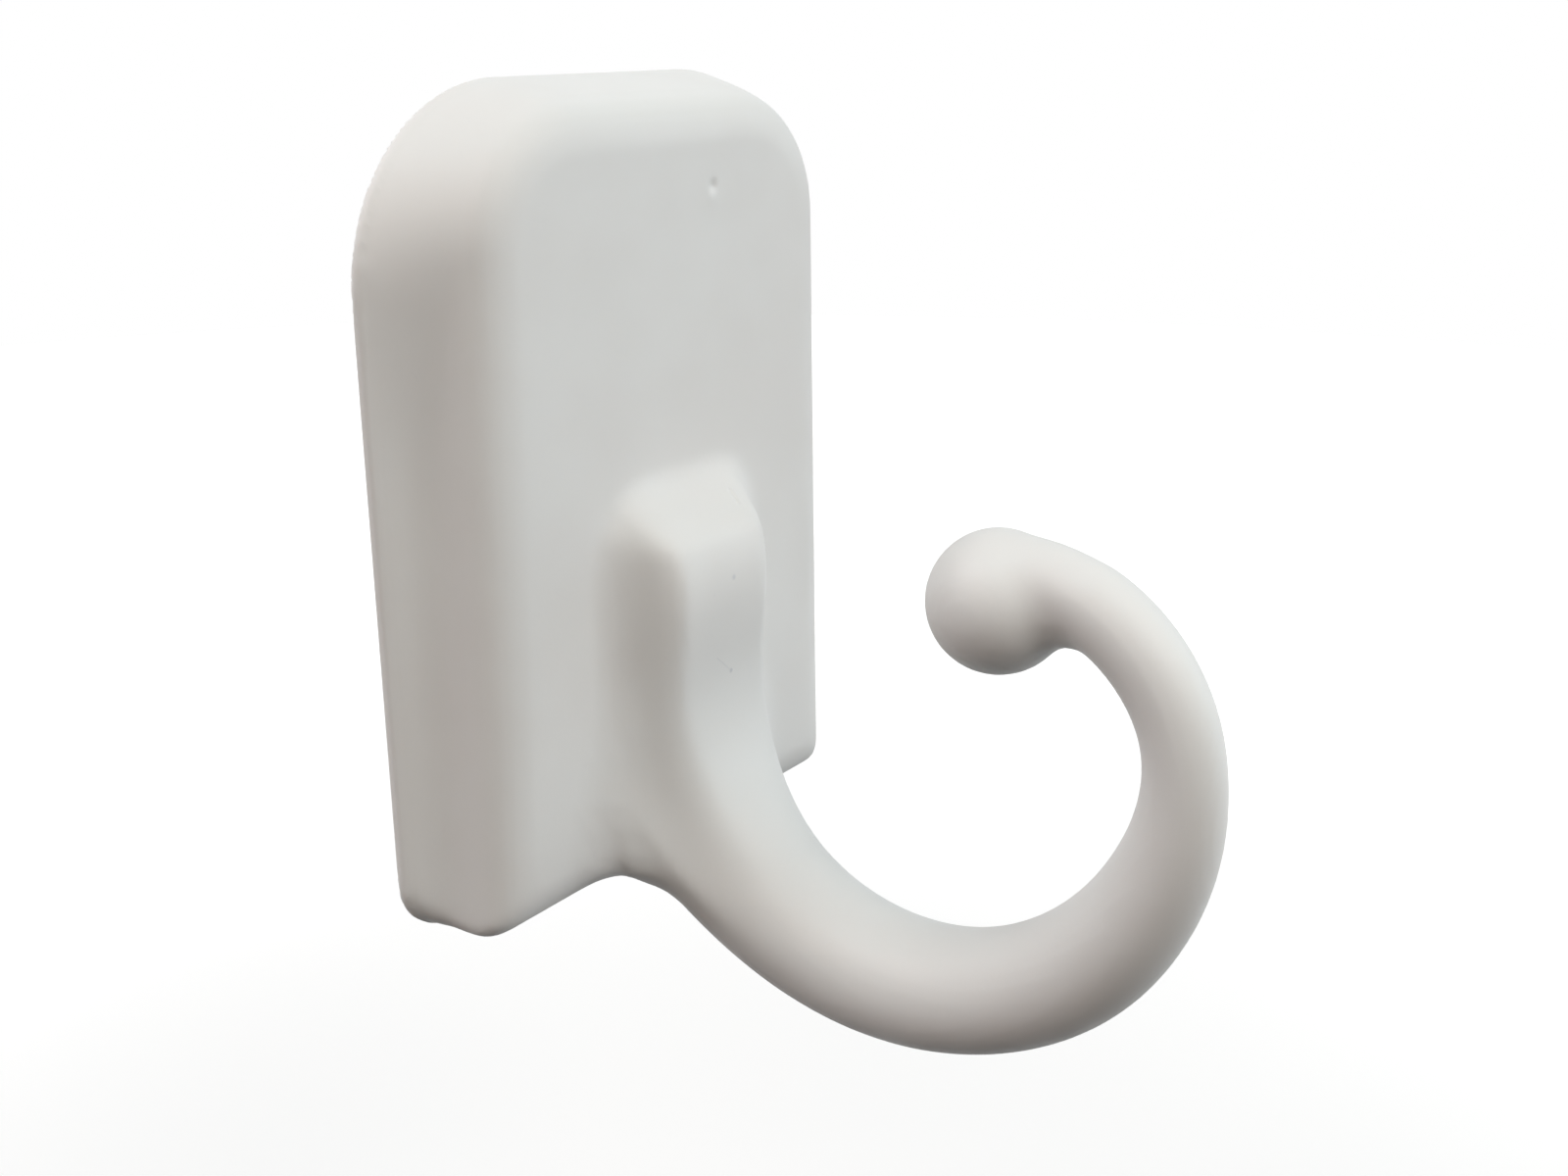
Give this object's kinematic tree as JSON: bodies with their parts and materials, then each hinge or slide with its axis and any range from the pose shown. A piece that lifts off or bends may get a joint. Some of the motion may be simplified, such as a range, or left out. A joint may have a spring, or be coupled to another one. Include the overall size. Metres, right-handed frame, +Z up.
{
  "type": "adhesive tieback hook",
  "caption": "Small moulded tieback hook for a curtain: a coved back plate on an adhesive pad, a flared rib and a tapering rod that dips, rises and curls back to a ball end.",
  "frame": {"origin": "middle of the foam pad's face that sticks to the wall", "axes": "+X across the plate, +Y into the wall, so the hook stands out along -Y, and +Z up the wall"},
  "size_m": [0.0252, 0.0291, 0.0375],
  "materials": {
    "white_plastic": "satin moulded white plastic",
    "foam_pad": "soft white foam with a tacky face"
  },
  "bodies": {
    "root": {"hook": "white_plastic", "adhesive_pad": "foam_pad"}
  },
  "joints": []
}
